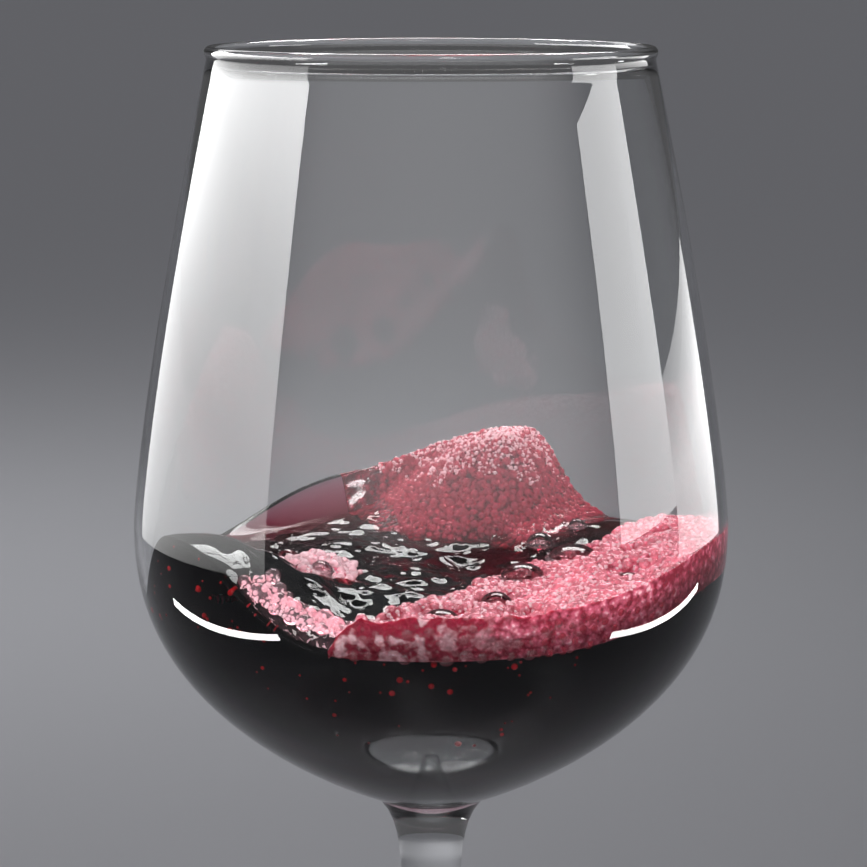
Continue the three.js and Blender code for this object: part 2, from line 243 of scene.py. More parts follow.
def glass_outline():
    edge = FOOT_EDGE / 2
    hollow_radius = FOOT_RADIUS - edge - RESTING_RING
    outline = [(hollow_radius * s, FOOT_HOLLOW * (1 - s * s)) for s in np.linspace(0.08, 1, 12)]
    outline += arc_points(FOOT_RADIUS - edge, edge, edge, edge, -90, 90, 11)
    radii = NECK_RADIUS + (FOOT_RADIUS - NECK_RADIUS) * np.linspace(0.93, 0.01, 34) ** 1.6
    outline += [(r, float(foot_height(r))) for r in radii]
    heights = FOOT_TOP + (STEM_TOP - FOOT_TOP) * np.linspace(0, 0.995, 48)
    outline += [(float(stem_radius(z)), z) for z in heights]
    down = np.linspace(1, 0, 40)[:-1]
    radii = STEM_JOIN_RADIUS + (BELLY_RADIUS - STEM_JOIN_RADIUS) * (1 - down ** 2)
    outline += [(r, float(cup_height(r, BELLY_RADIUS, BOWL_DEPTH))) for r in radii]
    belly = RIM_LEVEL - BELLY_DEPTH
    wall_top = RIM_LEVEL - 2 * BEAD_HALF_HEIGHT
    outline += [(float(outer_radius(z)), z) for z in np.linspace(belly, wall_top, 30)]
    bead_radius = RIM_RADIUS + BEAD_STAND - BEAD_HALF_WIDTH
    bead_middle = RIM_LEVEL - BEAD_HALF_HEIGHT
    outline += arc_points(bead_radius, bead_middle, BEAD_HALF_WIDTH, BEAD_HALF_HEIGHT, -40, 200, 17)
    outline += [(float(inner_radius(z)), z) for z in np.linspace(wall_top, belly, 30)]
    radii = (BELLY_RADIUS - WALL) * (1 - np.linspace(0, 0.99, 48)[1:] ** 2)
    outline += [(r, float(cup_height(r, BELLY_RADIUS - WALL, BOWL_INNER_DEPTH))) for r in radii]
    return outline


outline = glass_outline()[::-1]
glass = ring_mesh("stem_glass", turned_rings(outline, GLASS_SIDES),
                  (0, 0, RIM_LEVEL - BOWL_INNER_DEPTH), (0, 0, FOOT_HOLLOW))

# %% [markdown]
# ## The swirl
# Swirled wine doesn't lie flat. Each swell here climbs the wall at its own azimuth and fades off to both
# sides and towards the middle. Adding a few of them is simpler to steer than a fluid simulation, and it
# gives the same surface every time. Azimuths are in degrees: -90 is the front, 0 the right, 90 the back.

# %% Swells
WINE_TROUGH = 147.2 * MM
WINE_MIDDLE_RISE = 2.4 * MM
HOLLOW_DEPTH = 1.8 * MM
HOLLOW_RADIUS = 13 * MM
HOLLOW_PLACE = (7 * MM, 9 * MM)
SWELLS = [
    dict(azimuth=-146.4, rise=12.5 * MM, clockwise=12.0, counter=23.6, power=2.9, starts=0.3, full=1.0),
    dict(azimuth=-23.0, rise=4.9 * MM, clockwise=25.6, counter=105, power=2.0, starts=0.2, full=1.0),
    dict(azimuth=67.9, rise=12.6 * MM, clockwise=9.2, counter=28.8, power=2.24, starts=0.46, full=0.76),
    dict(azimuth=112.0, rise=6.5 * MM, clockwise=23.1, counter=23.1, power=2.0, starts=0.9, full=1.0),
]
WETTED_BELLY = BELLY_RADIUS - WALL


def ease(start, full, value):
    share = np.clip((value - start) / (full - start), 0, 1)
    return share * share * (3 - 2 * share)


def swirl_height(azimuth, share):
    """Height of the wine at an azimuth in degrees, at a share of the way from the middle to the wall."""
    height = WINE_TROUGH + WINE_MIDDLE_RISE * (1 - share ** 3)
    for swell in SWELLS:
        away = (azimuth - swell["azimuth"] + 180) % 360 - 180
        spread = np.where(away < 0, swell["clockwise"], swell["counter"])
        around = np.exp(-np.abs(away / spread) ** swell["power"])
        height = height + swell["rise"] * around * ease(swell["starts"], swell["full"], share)
    across_x = share * WETTED_BELLY * np.cos(np.radians(azimuth)) - HOLLOW_PLACE[0]
    across_y = share * WETTED_BELLY * np.sin(np.radians(azimuth)) - HOLLOW_PLACE[1]
    from_hollow = np.hypot(across_x, across_y) / HOLLOW_RADIUS
    return height - HOLLOW_DEPTH * np.exp(-from_hollow ** 2)


for azimuth in (-90, 0, 72, 180):
    level = round(float(swirl_height(azimuth, 1.0)) * 1000, 1)
    print("wine at the wall,", azimuth, "degrees:", level, "mm")

# %% [markdown]
# ## Ripples
# The middle of the surface is bare liquid, broken by small sharp ripples that mirror the room. Some run
# in rings round a place at the front left, and the rest is chop. Noise from Blender's own library gives
# the chop, and both die out towards the wall so that the wetting line stays as it is.

# %% Ripple height
RINGS_PLACE = (-10 * MM, -20 * MM)
RING_LENGTH = 5.6 * MM
RING_HEIGHT = 0.32 * MM
RING_REACH = 17 * MM
CHOP_HEIGHT = 0.75 * MM
CHOP_SIZE = 7.5 * MM
SMALL_CHOP_HEIGHT = 0.22 * MM
SMALL_CHOP_SIZE = 2.6 * MM
CALM_FROM = 0.72


def chop(x, y, size):
    """Ridged noise: sharp crests and round troughs, as on disturbed water."""
    place = Vector((x / size, y / size, 3.7))
    return 1 - 2 * abs(noise.noise(place)) - 0.5


def ripple_height(x, y, share):
    away = math.hypot(x - RINGS_PLACE[0], y - RINGS_PLACE[1])
    ring = RING_HEIGHT * math.sin(away / RING_LENGTH * 2 * math.pi) * math.exp(-away / RING_REACH)
    rough = CHOP_HEIGHT * chop(x, y, CHOP_SIZE) + SMALL_CHOP_HEIGHT * chop(y, -x, SMALL_CHOP_SIZE)
    return (ring + rough) * (1 - float(ease(CALM_FROM, 1.0, share)))


# %% [markdown]
# ## The wine
# The wine is one closed body: its surface on top, and the inside of the bowl below. It reaches 0.2 mm into
# the wall. If it stopped short, a film of air would show as a bright skin round it.

# %% Wine mesh
WINE_SIDES = 360
WINE_RINGS = 120
WALL_RINGS = 44
REACH_INTO_WALL = 0.2 * MM
CLOSER_AT_WALL = 0.9


def wine_point_rings():
    azimuth = np.arange(WINE_SIDES) * 360 / WINE_SIDES
    contact = swirl_height(azimuth, 1.0)
    wall = inner_radius(contact) + REACH_INTO_WALL
    cos, sin = np.cos(np.radians(azimuth)), np.sin(np.radians(azimuth))
    rings = []
    for share in (np.arange(1, WINE_RINGS + 1) / WINE_RINGS) ** CLOSER_AT_WALL:
        x, y = wall * share * cos, wall * share * sin
        z = swirl_height(azimuth, share)
        z = z + np.array([ripple_height(px, py, share) for px, py in zip(x, y)])
        rings.append(np.stack([x, y, z], axis=1))
    bottom = RIM_LEVEL - BOWL_INNER_DEPTH - REACH_INTO_WALL
    for down in np.sin(np.arange(1, WALL_RINGS) / WALL_RINGS * math.pi / 2):
        z = contact + (bottom - contact) * down
        radius = inner_radius(z + REACH_INTO_WALL) + REACH_INTO_WALL
        rings.append(np.stack([radius * cos, radius * sin, z], axis=1))
    return rings, bottom


wine_rings, wine_bottom = wine_point_rings()
middle = float(swirl_height(0.0, 0.0)) + ripple_height(0, 0, 0)
wine = ring_mesh("swirling_wine", wine_rings, (0, 0, middle), (0, 0, wine_bottom))

# %% [markdown]
# ## Where the large bubbles stand
# A few bubbles are several millimetres across. Each has pushed the froth aside, so we need their places
# before we can say where the froth lies. A row is x, y, radius and height of the dome, in millimetres.

# %% Large bubble places
LARGE_BUBBLES = [
    (22, -3, 3.9, 2.3), (13.8, -13, 3.4, 2.4), (9.5, -26, 2.4, 2.0), (1.5, -35, 3.0, 2.3),
    (29, -21, 1.9, 1.5), (-22.6, 2, 1.9, 1.9), (-24.4, -9, 2.1, 2.0), (-16.5, -14.5, 1.8, 1.7),
    (17.5, 12.5, 2.2, 1.9), (36, 2, 1.4, 1.2), (31, -9, 1.2, 1.0), (-6, -37.5, 2.2, 1.8),
    (12, -36.5, 1.6, 1.4), (24, 20, 1.5, 1.3),
]


def clear_of_large_bubbles(x, y):
    """Distance in metres from the nearest large bubble's edge, negative inside one."""
    gaps = [np.hypot(x - bx * MM, y - by * MM) - radius * MM for bx, by, radius, _ in LARGE_BUBBLES]
    return np.min(gaps, axis=0)


print(len(LARGE_BUBBLES), "large bubbles")

# %% [markdown]
# ## Where the froth lies
# Froth gathers on one side of the surface as a raft, caps the crest at the back, and leaves a cluster of
# clear bubbles on the left. Each is a thickness over the wine, and it is negative where there is no froth.

# %% Froth thickness
RAFT = dict(facing=-40, chord=15.5 * MM, edge=1.1 * MM, edge_slope=1.2, wall=5.4 * MM,
            thin_from=-12, thin_to=36, thin=1.3 * MM)
CAP = dict(first=47, last=104, starts=0.5, thickness=1.3 * MM)
CLUSTER = dict(x=-18.5 * MM, y=-5 * MM, half_width=6.5 * MM, half_length=10.5 * MM, height=2.2 * MM)
BARE = -1.5 * MM
LAP_OVER_BUBBLE = 0.2 * MM


def ragged(x, y, size, amount):
    return amount * np.array([noise.noise(Vector((px / size, py / size, 9.1))) for px, py in zip(x, y)])


def raft_thickness(x, y):
    azimuth = np.degrees(np.arctan2(y, x))
    share = np.clip(np.hypot(x, y) / WETTED_BELLY, 0, 1)
    facing = math.radians(RAFT["facing"])
    beyond = x * math.cos(facing) + y * math.sin(facing) - RAFT["chord"] + ragged(x, y, 6 * MM, 3.5 * MM)
    thinning = ease(RAFT["thin_from"], RAFT["thin_to"], azimuth)
    at_wall = RAFT["wall"] + (RAFT["thin"] - RAFT["wall"]) * thinning
    depth = RAFT["edge"] + (at_wall - RAFT["edge"]) * share ** 4
    depth = np.where(beyond < 0, np.maximum(beyond, BARE), np.minimum(depth, beyond * RAFT["edge_slope"]))
    return np.minimum(depth, clear_of_large_bubbles(x, y) + LAP_OVER_BUBBLE)


def cap_thickness(x, y):
    azimuth = np.degrees(np.arctan2(y, x))
    share = np.hypot(x, y) / WETTED_BELLY
    wobble = ragged(x, y, 5 * MM, 0.12)
    inside = np.minimum((azimuth - CAP["first"]) / 8, (CAP["last"] - azimuth) / 14)
    inside = np.minimum(inside, (share - CAP["starts"] + wobble) / 0.06)
    return CAP["thickness"] * np.clip(inside, -1.2, 1)


def cluster_thickness(x, y):
    across = (x - CLUSTER["x"]) / CLUSTER["half_width"]
    along = (y - CLUSTER["y"]) / CLUSTER["half_length"]
    heap = 1 - across ** 2 - along ** 2 + ragged(x, y, 4 * MM, 0.5)
    depth = CLUSTER["height"] * np.clip(heap, -0.7, 1)
    return np.minimum(depth, clear_of_large_bubbles(x, y) + LAP_OVER_BUBBLE)


# %% [markdown]
# ## The body of the froth
# Behind the bubbles that we can count there are finer ones. We give each froth a body: a grid over the
# wine, kept where froth lies, with a low relief of cells. The cells come from Voronoi noise, whose
# distance to the nearest point is a heap of round domes.

# %% Froth body helper
FROTH_RINGS = 190
FROTH_SIDES = 640
CELL = 1.1 * MM
CELL_EDGE = 0.75
CELL_RELIEF = 0.35 * MM
FULL_RELIEF_FROM = 0.6 * MM
SUNK_FLOOR = 0.9 * MM
SKIRT = -0.6 * MM


def cell_dome(x, y):
    """1 in the middle of a bubble-sized cell, 0 at its edge."""
    distances, _ = noise.voronoi(Vector((x / CELL, y / CELL, 0.4)))
    return max(0.0, 1 - (distances[0] / CELL_EDGE) ** 2)


def froth_body(name, thickness_at):
    azimuth = np.arange(FROTH_SIDES) * 360 / FROTH_SIDES
    cos, sin = np.cos(np.radians(azimuth)), np.sin(np.radians(azimuth))
    shares = (np.arange(1, FROTH_RINGS + 1) / FROTH_RINGS) ** 0.85
    tops, floors, depths = [], [], []
    for share in shares:
        level = swirl_height(azimuth, share)
        depth = thickness_at(share * WETTED_BELLY * cos, share * WETTED_BELLY * sin)
        height = level + depth
        wall = inner_radius(np.maximum(height, level)) + REACH_INTO_WALL
        x, y = wall * share * cos, wall * share * sin
        domes = np.array([cell_dome(px, py) if deep > 0 else 0 for px, py, deep in zip(x, y, depth)])
        height = height + CELL_RELIEF * domes * np.clip(depth / FULL_RELIEF_FROM, 0, 1)
        tops.append(np.stack([x, y, height], axis=1))
        sunk = np.minimum(level, height) - SUNK_FLOOR
        floor_wall = inner_radius(sunk) + REACH_INTO_WALL
        floors.append(np.stack([floor_wall * share * cos, floor_wall * share * sin, sunk], axis=1))
        depths.append(depth)
    return closed_patch(name, np.array(tops), np.array(floors), np.array(depths) > SKIRT)


def closed_patch(name, tops, floors, kept):
    """Keeps the grid cells whose corners are all kept, and closes top, floor and sides."""
    rings, sides = kept.shape

    def corner(ring, side):
        return ring * sides + side % sides

    cells = {(r, s) for r in range(rings - 1) for s in range(sides)
             if kept[r, s] and kept[r + 1, s] and kept[r, (s + 1) % sides] and kept[r + 1, (s + 1) % sides]}
    total = rings * sides
    faces = []
    for r, s in cells:
        a, b, c, d = corner(r, s), corner(r + 1, s), corner(r + 1, s + 1), corner(r, s + 1)
        faces.append((a, b, c, d))
        faces.append((a + total, d + total, c + total, b + total))
        borders = [
            ((r - 1, s), d, a), ((r + 1, s), b, c),
            ((r, (s + 1) % sides), c, d), ((r, (s - 1) % sides), a, b),
        ]
        for neighbour, one, other in borders:
            if neighbour not in cells:
                faces.append((other, one, one + total, other + total))
    points = np.vstack([tops.reshape(-1, 3), floors.reshape(-1, 3)])
    used = sorted({point for face in faces for point in face})
    renumber = {old: new for new, old in enumerate(used)}
    return smooth_piece(name, points[used].tolist(), [[renumber[point] for point in face] for face in faces])


raft = froth_body("froth_raft_body", raft_thickness)
cap = froth_body("froth_cap_body", cap_thickness)
cluster = froth_body("bubble_cluster_body", cluster_thickness)

# %% [markdown]
# ## Bubbles that can be counted
# Instances of one ball would be lighter, but they are lost on export. We copy the points of one ball to
# each place with numpy and make a single mesh of them, which is fast to build.

# %% Bubble helper
def ball_points(detail):
    bpy.ops.mesh.primitive_ico_sphere_add(subdivisions=detail, radius=1)
    ball = bpy.context.object
    points = np.array([v.co[:] for v in ball.data.vertices])
    faces = np.array([p.vertices[:] for p in ball.data.polygons])
    bpy.data.objects.remove(ball)
    return points, faces


BALLS = {"fine": ball_points(2), "round": ball_points(3)}


def joined_bubbles(name, kind, bubbles):
    """One mesh of many balls. A bubble is (x, y, z, radius, height)."""
    points, faces = BALLS[kind]
    all_points = np.vstack([points * (r, r, h) + (x, y, z) for x, y, z, r, h in bubbles])
    all_faces = np.vstack([faces + index * len(points) for index in range(len(bubbles))])
    print(len(bubbles), "bubbles join up")
    return smooth_piece(name, all_points.tolist(), all_faces.tolist())


def surface_at(x, y):
    azimuth = np.degrees(np.arctan2(y, x))
    share = min(math.hypot(x, y) / WETTED_BELLY, 1.0)
    return float(swirl_height(azimuth, share))


# %% [markdown]
# ## Packing the bubbles
# Bubbles in froth press against each other and hardly run through each other. We draw places at random,
# largest bubbles first, and keep a place only where it clears every bubble so far, but for a slight lap.
# The seed is fixed, so that the froth is the same at every run.

# %% Pack
PLACES_PER_DRAW = 8000
MOSTLY_SMALL = 2.2
HEIGHT_SCATTER = 0.2
SUNK_SHARE = 0.35


def clears(placed, bubble, overlap):
    """Whether a bubble (x, y, z, radius) stays off those that are placed, but for the overlap."""
    distances = np.sqrt(((placed[:, :3] - bubble[:3]) ** 2).sum(axis=1))
    return bool(np.all(distances - overlap * (placed[:, 3] + bubble[3]) > 0))


def places_on(thickness_at, least_depth, wanted, draw):
    """Random places where the froth is thick enough, as rows of x, y and depth."""
    found = np.zeros((0, 3))
    while len(found) < wanted:
        turn = draw.random(PLACES_PER_DRAW) * 2 * math.pi
        reach = WETTED_BELLY * np.sqrt(draw.random(PLACES_PER_DRAW))
        xs, ys = reach * np.cos(turn), reach * np.sin(turn)
        depths = thickness_at(xs, ys)
        batch = np.stack([xs, ys, depths], axis=1)
        found = np.vstack([found, batch[depths > least_depth]])
    return found


def pack(count, seed, smallest, largest, thickness_at, least_depth, tries=9, overlap=0.86, lift=0.0):
    draw = np.random.default_rng(seed)
    radii = np.sort(smallest + (largest - smallest) * draw.random(count) ** MOSTLY_SMALL)[::-1]
    places = iter(places_on(thickness_at, least_depth, count * tries, draw))
    placed = np.zeros((0, 4))
    for radius in radii:
        for attempt in range(tries):
            x, y, depth = next(places)
            level = surface_at(x, y)
            z = level + max(depth, 0) + (lift + HEIGHT_SCATTER * draw.random() - SUNK_SHARE) * radius
            pull = min(1.0, (float(inner_radius(z)) - radius) / math.hypot(x, y))
            bubble = (x * pull, y * pull, z, radius)
            if clears(placed, bubble, overlap):
                placed = np.vstack([placed, bubble])
                break
    return [(x, y, z, radius, radius) for x, y, z, radius in placed]


raft_mid = joined_bubbles("raft_bubbles", "fine",
                          pack(1900, 6, 0.42 * MM, 1.15 * MM, raft_thickness, 0.3 * MM))
raft_fine = joined_bubbles("raft_fine_bubbles", "fine",
                           pack(1800, 5, 0.22 * MM, 0.42 * MM, raft_thickness, 0.2 * MM, lift=0.9))
cap_mid = joined_bubbles("cap_bubbles", "fine",
                         pack(1500, 8, 0.34 * MM, 0.85 * MM, cap_thickness, 0.2 * MM, lift=0.2))
cap_fine = joined_bubbles("cap_fine_bubbles", "fine",
                          pack(900, 7, 0.2 * MM, 0.36 * MM, cap_thickness, 0.2 * MM, lift=0.9))
cluster_mid = joined_bubbles("cluster_bubbles", "round",
                             pack(330, 9, 0.36 * MM, 0.9 * MM, cluster_thickness, -0.4 * MM, lift=0.4))

# %% [markdown]
# ## Pale foam
# Two places are whiter than the rest: the top of the crest, where the froth drains first, and the front
# lip, where fresh bubbles pile up against the glass. They get bubbles of their own, laid over the others.

# %% Crest top and front lip
CREST_TOP_LEVEL = 157.5 * MM
LIP = dict(first=-128, last=-56, starts=0.82, depth=2.0 * MM, least=0.2 * MM)


def crest_top_thickness(x, y):
    level = swirl_height(np.degrees(np.arctan2(y, x)), np.hypot(x, y) / WETTED_BELLY)
    high = level - CREST_TOP_LEVEL + ragged(x, y, 2.2 * MM, 7 * MM)
    return np.where(high > 0, cap_thickness(x, y), BARE)


def lip_thickness(x, y):
    azimuth = np.degrees(np.arctan2(y, x))
    share = np.hypot(x, y) / WETTED_BELLY
    inside = np.minimum((azimuth - LIP["first"]) / 10, (LIP["last"] - azimuth) / 14)
    inside = np.minimum(inside, (share - LIP["starts"] + ragged(x, y, 5 * MM, 0.14)) / 0.08)
    return np.where(inside > 0, LIP["depth"] * np.clip(inside, 0, 1) + LIP["least"], BARE)


crest_top = joined_bubbles("crest_top_bubbles", "fine",
                           pack(1300, 21, 0.16 * MM, 0.42 * MM, crest_top_thickness, 0.2 * MM, lift=1.2))
lip_large = joined_bubbles("lip_bubbles", "round",
                           pack(170, 22, 0.6 * MM, 1.5 * MM, lip_thickness, 0.1 * MM, lift=0.4))
lip_fine = joined_bubbles("lip_fine_bubbles", "fine",
                          pack(900, 23, 0.15 * MM, 0.38 * MM, lip_thickness, 0.1 * MM, lift=0.8))

# %% [markdown]
# ## Froth pressed against the wall
# Where the raft meets the glass we see it from the side, through the wall, as a band of bubbles some
# millimetres deep. These bubbles sit against the inside of the bowl, from the wine up to the raft's top.

# %% Wall band
WALL_TRIES = 12
WALL_OVERLAP = 0.85
PRESSED_FLAT = 0.75
BESIDE_WALL = 0.99 * WETTED_BELLY


def wall_band(count, seed, smallest, largest, first, last):
    draw = np.random.default_rng(seed)
    placed = np.zeros((0, 4))
    for radius in np.sort(smallest + (largest - smallest) * draw.random(count) ** 2)[::-1]:
        for attempt in range(WALL_TRIES):
            azimuth = draw.uniform(first, last)
            cos, sin = math.cos(math.radians(azimuth)), math.sin(math.radians(azimuth))
            depth = float(raft_thickness(np.array([BESIDE_WALL * cos]), np.array([BESIDE_WALL * sin]))[0])
            if depth < radius:
                continue
            level = float(swirl_height(azimuth, 1.0))
            z = level + draw.uniform(-0.1, 1.0) * (depth - radius)
            reach = float(inner_radius(z)) - radius * PRESSED_FLAT
            bubble = (reach * cos, reach * sin, z, radius)
            if clears(placed, bubble, WALL_OVERLAP):
                placed = np.vstack([placed, bubble])
                break
    return [(x, y, z, radius, radius) for x, y, z, radius in placed]


band = joined_bubbles("wall_bubbles", "fine", wall_band(1000, 12, 0.35 * MM, 1.1 * MM, -70, 36))
lip_band = joined_bubbles("lip_wall_bubbles", "round", wall_band(420, 13, 0.35 * MM, 1.3 * MM, -122, -62))

# %% [markdown]
# ## Bubbles in the wine
# Some bubbles were swept under and hang in the wine close to the glass. Light that reaches them has
# passed wine, so they show as small red sparks in the dark.

# %% Sunk bubbles
SPARK_RADIUS = 0.15 * MM
SPARK_SPREAD = 0.4 * MM
LEAST_SUNK = 1.5 * MM


def sunk_bubbles(count, seed, first, last, deepest):
    draw = np.random.default_rng(seed)
    found = []
    for _ in range(count):
        azimuth = draw.uniform(first, last)
        radius = SPARK_RADIUS + SPARK_SPREAD * draw.random() ** 3
        z = float(swirl_height(azimuth, 1.0)) - LEAST_SUNK - deepest * draw.random() ** 1.6
        reach = float(inner_radius(z)) - radius - draw.uniform(0.3, 1.6) * MM
        x, y = reach * math.cos(math.radians(azimuth)), reach * math.sin(math.radians(azimuth))
        found.append((x, y, z, radius, radius))
    return found


sunk = joined_bubbles("sunk_bubbles", "fine",
                      sunk_bubbles(26, 31, -166, -125, 11 * MM) + sunk_bubbles(50, 32, -135, -60, 14 * MM))

# %% [markdown]
# ## Large clear bubbles
# Each large bubble is a dome of thin skin on the wine, with a ring of wine drawn up round its foot.

# %% Large domes
DOME_LIFT = 0.35


def dome_places():
    places = []
    for x, y, radius, height in LARGE_BUBBLES:
        x, y, radius, height = x * MM, y * MM, radius * MM, height * MM
        places.append((x, y, surface_at(x, y) + DOME_LIFT * height, radius, height))
    return places


def ring_points(around, across, thickness):
    turn = np.arange(around) * 2 * math.pi / around
    roll = np.arange(across) * 2 * math.pi / across
    turn, roll = np.meshgrid(turn, roll, indexing="ij")
    reach = 1 + thickness * np.cos(roll)
    points = np.stack([reach * np.cos(turn), reach * np.sin(turn), thickness * np.sin(roll)], axis=2)
    index = np.arange(around * across).reshape(around, across)
    after = np.roll(index, -1, axis=0)
    faces = np.stack([index, after, np.roll(after, -1, axis=1), np.roll(index, -1, axis=1)], axis=2)
    return points.reshape(-1, 3), faces.reshape(-1, 4)


BALLS["ring"] = ring_points(48, 12, 0.12)
domes = joined_bubbles("large_bubbles", "round", dome_places())
rings = joined_bubbles("large_bubble_rings", "ring", [(x, y, z, r, r) for x, y, z, r, _ in dome_places()])

# %% [markdown]
# ## Starting a finish
# Every finish begins with an empty node tree, and several share a clear shader or a noise. Lamps don't
# shine through a clear surface in Cycles unless light finds its way by chance, so we let the rays that
# only ask whether a lamp is hidden pass straight through.

# %% Material helpers
def start_material(name):
    material = bpy.data.materials.new(name)
    material.use_nodes = True
    nodes = material.node_tree.nodes
    nodes.clear()
    output = nodes.new("ShaderNodeOutputMaterial")
    return material, nodes, material.node_tree.links, output


def lets_lamps_through(nodes, links, output, shader, tint):
    through = nodes.new("ShaderNodeBsdfTransparent")
    through.inputs["Color"].default_value = (*tint, 1)
    path = nodes.new("ShaderNodeLightPath")
    mix = nodes.new("ShaderNodeMixShader")
    links.new(path.outputs["Is Shadow Ray"], mix.inputs[0])
    links.new(shader.outputs["BSDF"], mix.inputs[1])
    links.new(through.outputs["BSDF"], mix.inputs[2])
    links.new(mix.outputs["Shader"], output.inputs["Surface"])


def clear_shader(nodes, ior, colour, mirror_share):
    shader = nodes.new("ShaderNodeBsdfPrincipled")
    shader.inputs["Base Color"].default_value = (*colour, 1)
    shader.inputs["Roughness"].default_value = 0.0
    shader.inputs["IOR"].default_value = ior
    shader.inputs["Transmission Weight"].default_value = 1.0
    shader.inputs["Specular Tint"].default_value = (mirror_share, mirror_share, mirror_share, 1)
    return shader


def noise_over(nodes, links, place, scale, detail):
    noise_texture = nodes.new("ShaderNodeTexNoise")
    noise_texture.inputs["Scale"].default_value = scale
    noise_texture.inputs["Detail"].default_value = detail
    links.new(place.outputs["Object"], noise_texture.inputs["Vector"])
    return noise_texture.outputs["Fac"]


# %% [markdown]
# ## Clear glass
# Glass bends light by an index of about 1.5. The bowl's inside is split in two: against air it mirrors,
# and against wine it doesn't, because wine bends light nearly as much as glass. We also hold back the
# mirroring of the dry inside, as a thin wet film does on the real one.

# %% Glass finish
GLASS_IOR = 1.5
GLASS_TINT = (0.985, 0.992, 0.99)
GLASS_SHADOW = (0.96, 0.97, 0.97)
WAVE_SCALE = 22
WAVE_STRENGTH = 0.12
WAVE_HEIGHT = 1 * MM
GLASS_FINISHES = [("blown_glass", 1.0), ("blown_glass_inside", 0.3), ("blown_glass_against_wine", 0.0)]
DRY_INSIDE, WETTED_INSIDE = 1, 2


def soft_waves(nodes, links, shader):
    """The faint unevenness of a blown wall, which makes reflections waver."""
    place = nodes.new("ShaderNodeTexCoord")
    bump = nodes.new("ShaderNodeBump")
    bump.inputs["Strength"].default_value = WAVE_STRENGTH
    bump.inputs["Distance"].default_value = WAVE_HEIGHT
    links.new(noise_over(nodes, links, place, WAVE_SCALE, 1.0), bump.inputs["Height"])
    links.new(bump.outputs["Normal"], shader.inputs["Normal"])


def glass_finish(name, mirror_share):
    material, nodes, links, output = start_material(name)
    shader = clear_shader(nodes, GLASS_IOR, GLASS_TINT, mirror_share)
    soft_waves(nodes, links, shader)
    lets_lamps_through(nodes, links, output, shader, GLASS_SHADOW)
    return material


for name, mirror_share in GLASS_FINISHES:
    glass.data.materials.append(glass_finish(name, mirror_share))


def mark_inner_faces(piece):
    counts = [0, 0, 0]
    for face in piece.data.polygons:
        x, y, z = face.center
        radius = math.hypot(x, y)
        in_bowl = RIM_LEVEL - BOWL_INNER_DEPTH - 0.1 * MM < z < RIM_LEVEL - 2 * BEAD_HALF_HEIGHT
        if in_bowl and radius < float(inner_radius(z)) + 0.4 * MM:
            wetted = z < float(swirl_height(math.degrees(math.atan2(y, x)), 1.0))
            face.material_index = WETTED_INSIDE if wetted else DRY_INSIDE
        counts[face.material_index] += 1
    return counts


print("outer, dry and wetted faces:", mark_inner_faces(glass))

# %% [markdown]
# ## Red wine
# Red wine is clear, and it swallows green and blue within a millimetre or two and red within a
# centimetre or so. Volume Absorption does just that: thin edges glow red, and the deep wine is black.
# One finish has to serve the whole body of wine, or light that enters by one finish and leaves by
# another would go on being absorbed outside. So an attribute says where its surface mirrors.

# %% Wine finish
WINE_IOR = 1.34
WINE_DENSITY = 850.0
WINE_LETS_THROUGH = (0.82, 0.06, 0.27)


def mark_free_surface(piece):
    """Writes 1 on points that face the air and 0 on points that lie in the wall."""
    free = np.zeros((len(piece.data.vertices), 4), dtype=np.float32)
    free[:, 3] = 1
    free[:1 + WINE_SIDES * WINE_RINGS, :3] = 1
    mark = piece.data.attributes.new("free_surface", "FLOAT_COLOR", "POINT")
    mark.data.foreach_set("color", free.ravel())


def wine_finish():
    material, nodes, links, output = start_material("red_wine")
    shader = clear_shader(nodes, WINE_IOR, (1, 1, 1), 1.0)
    free = nodes.new("ShaderNodeAttribute")
    free.attribute_name = "free_surface"
    links.new(free.outputs["Color"], shader.inputs["Specular Tint"])
    lets_lamps_through(nodes, links, output, shader, (1, 1, 1))
    absorb = nodes.new("ShaderNodeVolumeAbsorption")
    absorb.inputs["Color"].default_value = (*WINE_LETS_THROUGH, 1)
    absorb.inputs["Density"].default_value = WINE_DENSITY
    links.new(absorb.outputs["Volume"], output.inputs["Volume"])
    return material


mark_free_surface(wine)
wine.data.materials.append(wine_finish())
half_way = math.log(2) / (WINE_DENSITY * (1 - WINE_LETS_THROUGH[0])) / MM
print("half of the red light is gone after", round(half_way, 1), "mm of wine")

# %% [markdown]
# ## Froth
# Up close froth is a heap of tiny wet domes, each with its own highlight and a dark seam round it. A Voronoi
# texture gives both the domes, as bump, and the colour. The colour is painted light: the froth's own tones
# are laid out as painted shade of deep red in the seams and a painted highlight of pale pink on top of each
# dome.

# %% Froth helpers
def calculate(nodes, links, operation, *sources):
    """A Math node, fed with numbers and sockets."""
    node = nodes.new("ShaderNodeMath")
    node.operation = operation
    for socket, source in zip(node.inputs, sources):
        if isinstance(source, bpy.types.NodeSocket):
            links.new(source, socket)
        else:
            socket.default_value = source
    return node.outputs["Value"]


def cells_over(nodes, links, place, scale):
    cells = nodes.new("ShaderNodeTexVoronoi")
    cells.inputs["Scale"].default_value = scale
    links.new(place.outputs["Object"], cells.inputs["Vector"])
    return cells.outputs["Distance"]


def rise_between(nodes, links, source, start, stop, top):
    """0 up to the start, and the top value from the stop on."""
    rise = nodes.new("ShaderNodeMapRange")
    rise.inputs["From Min"].default_value = start
    rise.inputs["From Max"].default_value = stop
    rise.inputs["To Max"].default_value = top
    links.new(source, rise.inputs["Value"])
    return rise.outputs["Result"]


# %% [markdown]
# ## Colour of the froth
# Noise shifts the colour in patches, so that no part looks printed. The raft is darker on its left, where
# the froth is wet and thin, and specks of dry pale foam lie on it there.

